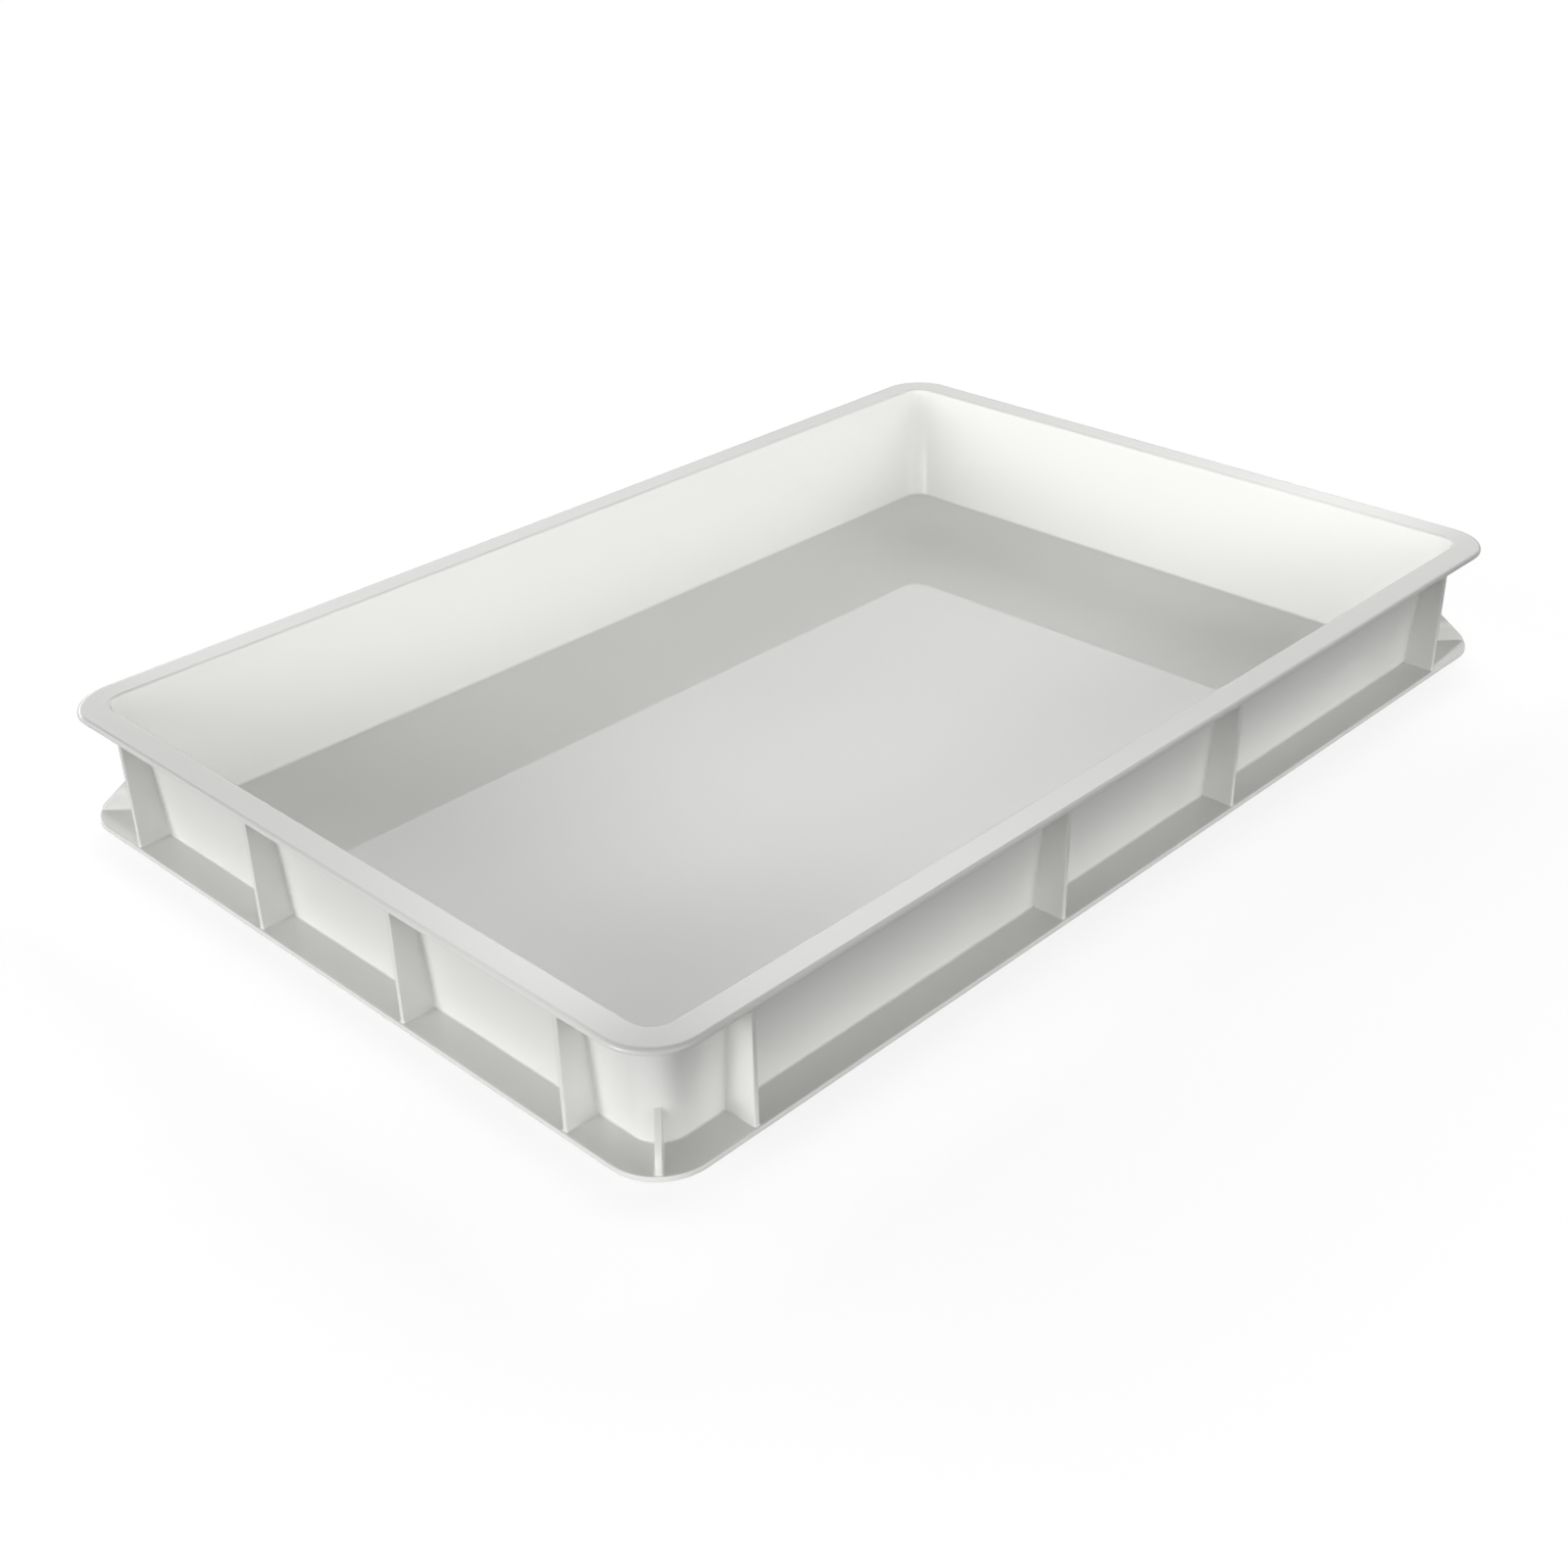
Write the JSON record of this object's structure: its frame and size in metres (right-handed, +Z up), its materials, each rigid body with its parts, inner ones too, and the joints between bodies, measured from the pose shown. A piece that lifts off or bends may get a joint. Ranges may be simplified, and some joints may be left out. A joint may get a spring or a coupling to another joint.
{
  "type": "dough proofing container",
  "caption": "Shallow rectangular stacking tray for proofing dough, with a flat rim, leaning walls, outer ribs and a base flange that seats on the rim of the tray below.",
  "frame": {"origin": "middle of the underside", "axes": "+X along the length, +Y across the width, +Z up out of the mouth"},
  "size_m": [0.6, 0.4, 0.07],
  "materials": {
    "white_plastic": "smooth moulded white food-grade plastic with a soft gloss"
  },
  "bodies": {
    "root": {"floor_panel": "white_plastic", "side_wall": "white_plastic", "top_rim": "white_plastic", "base_flange": "white_plastic", "right_rib_1": "white_plastic", "right_rib_2": "white_plastic", "right_rib_3": "white_plastic", "right_rib_4": "white_plastic", "back_rib_1": "white_plastic", "back_rib_2": "white_plastic", "back_rib_3": "white_plastic", "back_rib_4": "white_plastic", "left_rib_1": "white_plastic", "left_rib_2": "white_plastic", "left_rib_3": "white_plastic", "left_rib_4": "white_plastic", "front_rib_1": "white_plastic", "front_rib_2": "white_plastic", "front_rib_3": "white_plastic", "front_rib_4": "white_plastic", "corner_gusset_back_right": "white_plastic", "corner_gusset_back_left": "white_plastic", "corner_gusset_front_left": "white_plastic", "corner_gusset_front_right": "white_plastic"}
  },
  "joints": []
}
